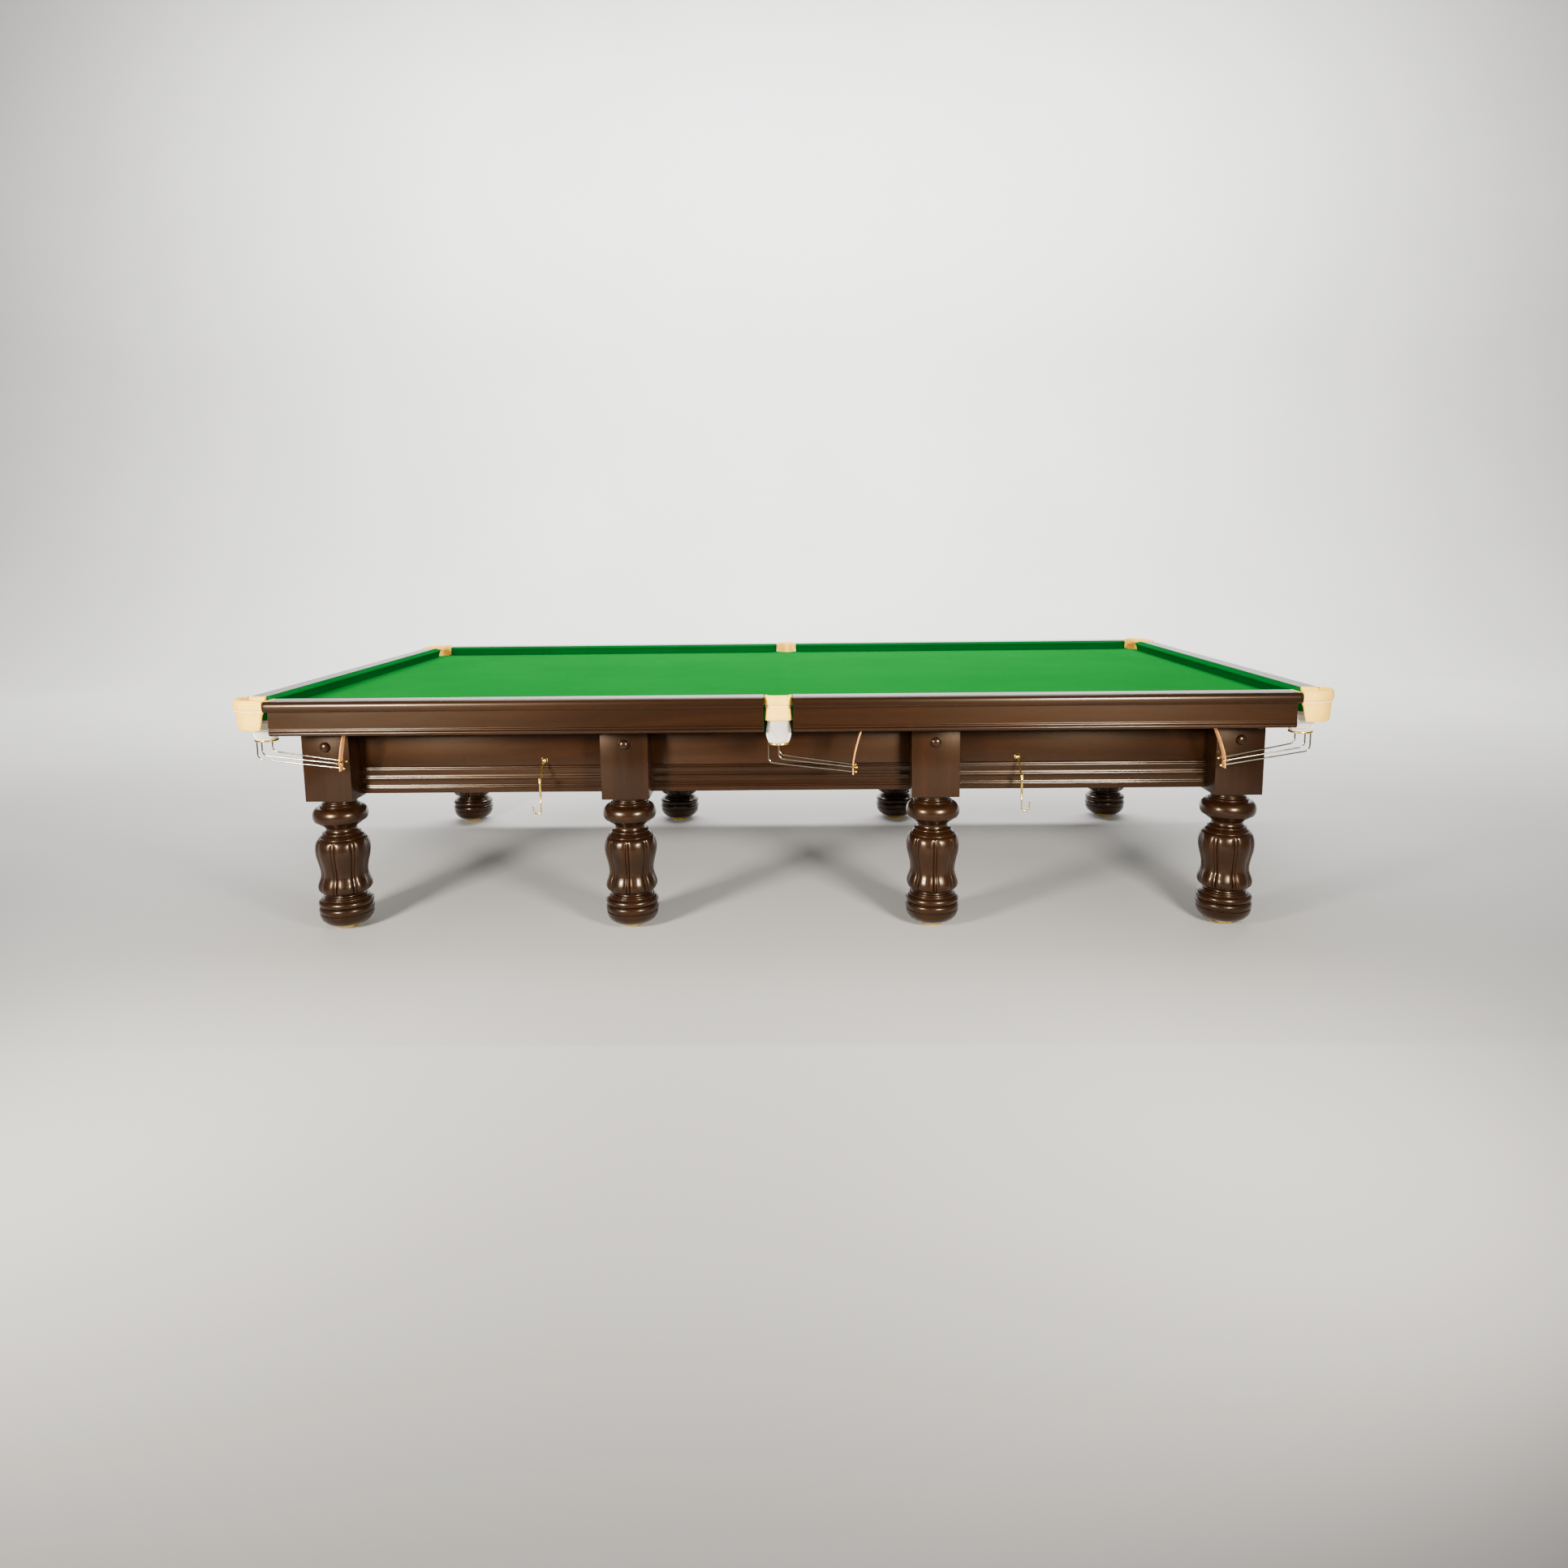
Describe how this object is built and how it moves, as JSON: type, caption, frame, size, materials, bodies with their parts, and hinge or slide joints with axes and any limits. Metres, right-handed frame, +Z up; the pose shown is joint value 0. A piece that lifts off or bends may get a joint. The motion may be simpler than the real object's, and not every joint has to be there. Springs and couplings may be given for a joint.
{
  "type": "billiard table",
  "caption": "Full-size billiard table: slate bed under green cloth, covered cushions on polished rails, leather-rimmed net pockets with runners, and fluted turned legs.",
  "frame": {"origin": "on the floor under the middle of the table", "axes": "+X along the table's length, +Y across it away from the side with the hooks, +Z up"},
  "size_m": [3.825, 2.034, 0.895],
  "materials": {
    "mahogany": "polished",
    "green_cloth": "napped",
    "covered_rubber": "covered with green cloth",
    "slate": "honed",
    "tan_leather": "natural",
    "white_string": "knotted string",
    "brass": "polished"
  },
  "bodies": {
    "table": {"leg_front_1": "mahogany", "leg_front_2": "mahogany", "leg_front_3": "mahogany", "leg_front_4": "mahogany", "leg_back_1": "mahogany", "leg_back_2": "mahogany", "leg_back_3": "mahogany", "leg_back_4": "mahogany", "frame_rail_front": "mahogany", "frame_rail_back": "mahogany", "frame_rail_left": "mahogany", "frame_rail_right": "mahogany", "cross_bearer_left": "mahogany", "cross_bearer_right": "mahogany", "slate_bed": "slate", "bed_cloth": "green_cloth", "cushion_rail_front_left": "mahogany", "cushion_rail_front_right": "mahogany", "cushion_rail_back_left": "mahogany", "cushion_rail_back_right": "mahogany", "cushion_rail_left": "mahogany", "cushion_rail_right": "mahogany", "cushion_nose_front_left": "covered_rubber", "cushion_nose_front_right": "covered_rubber", "cushion_nose_back_left": "covered_rubber", "cushion_nose_back_right": "covered_rubber", "cushion_nose_left": "covered_rubber", "cushion_nose_right": "covered_rubber", "pocket_leather_front_left": "tan_leather", "pocket_leather_front_middle": "tan_leather", "pocket_leather_front_right": "tan_leather", "pocket_leather_back_left": "tan_leather", "pocket_leather_back_middle": "tan_leather", "pocket_leather_back_right": "tan_leather", "pocket_net_front_left": "white_string", "pocket_net_front_middle": "white_string", "pocket_net_front_right": "white_string", "pocket_net_back_left": "white_string", "pocket_net_back_middle": "white_string", "pocket_net_back_right": "white_string", "pocket_runner_front_left": "brass", "pocket_runner_front_middle": "brass", "pocket_runner_front_right": "brass", "pocket_runner_back_left": "brass", "pocket_runner_back_middle": "brass", "pocket_runner_back_right": "brass", "hook_bracket_left": "brass", "hook_bracket_right": "brass"},
    "foot_front_1": {"foot_front_1": "brass"},
    "foot_front_2": {"foot_front_2": "brass"},
    "foot_front_3": {"foot_front_3": "brass"},
    "foot_front_4": {"foot_front_4": "brass"},
    "foot_back_1": {"foot_back_1": "brass"},
    "foot_back_2": {"foot_back_2": "brass"},
    "foot_back_3": {"foot_back_3": "brass"},
    "foot_back_4": {"foot_back_4": "brass"},
    "hook_left": {"hook_left": "brass"},
    "hook_right": {"hook_right": "brass"}
  },
  "joints": [
    {"name": "foot_front_1_thread", "type": "slide", "parent": "table", "child": "foot_front_1", "axis": [0, 0, -1], "range_m": [0, 0.02]},
    {"name": "foot_front_2_thread", "type": "slide", "parent": "table", "child": "foot_front_2", "axis": [0, 0, -1], "range_m": [0, 0.02]},
    {"name": "foot_front_3_thread", "type": "slide", "parent": "table", "child": "foot_front_3", "axis": [0, 0, -1], "range_m": [0, 0.02]},
    {"name": "foot_front_4_thread", "type": "slide", "parent": "table", "child": "foot_front_4", "axis": [0, 0, -1], "range_m": [0, 0.02]},
    {"name": "foot_back_1_thread", "type": "slide", "parent": "table", "child": "foot_back_1", "axis": [0, 0, -1], "range_m": [0, 0.02]},
    {"name": "foot_back_2_thread", "type": "slide", "parent": "table", "child": "foot_back_2", "axis": [0, 0, -1], "range_m": [0, 0.02]},
    {"name": "foot_back_3_thread", "type": "slide", "parent": "table", "child": "foot_back_3", "axis": [0, 0, -1], "range_m": [0, 0.02]},
    {"name": "foot_back_4_thread", "type": "slide", "parent": "table", "child": "foot_back_4", "axis": [0, 0, -1], "range_m": [0, 0.02]},
    {"name": "hook_left_swivel", "type": "hinge", "parent": "table", "child": "hook_left", "pos_m": [-0.868, -0.8503, 0.5694], "axis": [0, 0, 1], "continuous": true},
    {"name": "hook_right_swivel", "type": "hinge", "parent": "table", "child": "hook_right", "pos_m": [0.868, -0.8503, 0.5694], "axis": [0, 0, 1], "continuous": true}
  ]
}
